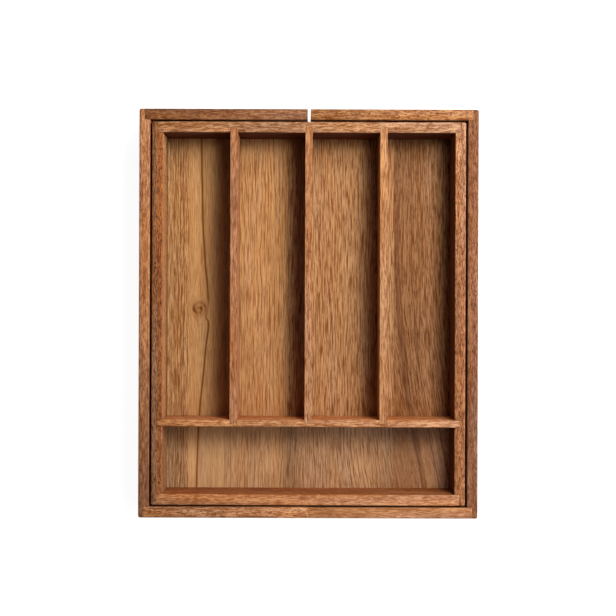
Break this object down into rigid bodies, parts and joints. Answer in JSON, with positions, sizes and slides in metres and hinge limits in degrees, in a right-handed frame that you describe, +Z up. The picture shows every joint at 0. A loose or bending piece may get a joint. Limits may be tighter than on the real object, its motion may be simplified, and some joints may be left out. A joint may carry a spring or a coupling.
{
  "type": "adjustable cutlery tray",
  "caption": "Wooden drawer tray for cutlery: long compartments and a cross compartment in a centre tray, framed by wings that slide out sideways to fit the drawer.",
  "frame": {"origin": "on the surface the tray stands on, at the middle of the closed tray's footprint", "axes": "+Z up, the length runs along Y with the front compartment at -Y, and the wings slide along X"},
  "size_m": [0.332, 0.4, 0.06],
  "materials": {
    "wing_board": "satin oiled hardwood, red-brown",
    "centre_board": "satin oiled hardwood, warm mid-brown",
    "divider_board": "satin oiled hardwood, lighter brown",
    "floor_board": "satin oiled hardwood panel with streaked grain",
    "runner_strip": "plain hardwood, unoiled"
  },
  "bodies": {
    "centre_tray": {"centre_left_wall": "centre_board", "centre_right_wall": "centre_board", "centre_front_wall": "centre_board", "centre_back_wall": "centre_board", "centre_floor": "floor_board", "cross_divider": "divider_board", "long_divider_1": "divider_board", "long_divider_2": "divider_board", "long_divider_3": "divider_board"},
    "left_wing": {"left_wing_side_wall": "wing_board", "left_wing_front_rail": "wing_board", "left_wing_back_rail": "wing_board", "left_wing_floor": "floor_board", "left_wing_front_runner": "runner_strip", "left_wing_back_runner": "runner_strip"},
    "right_wing": {"right_wing_side_wall": "wing_board", "right_wing_front_rail": "wing_board", "right_wing_back_rail": "wing_board", "right_wing_floor": "floor_board", "right_wing_front_runner": "runner_strip", "right_wing_back_runner": "runner_strip"}
  },
  "joints": [
    {"name": "left_wing_slide", "type": "slide", "parent": "centre_tray", "child": "left_wing", "axis": [-1, 0, 0], "range_m": [0, 0.11]},
    {"name": "right_wing_slide", "type": "slide", "parent": "centre_tray", "child": "right_wing", "axis": [1, 0, 0], "range_m": [0, 0.11]}
  ]
}
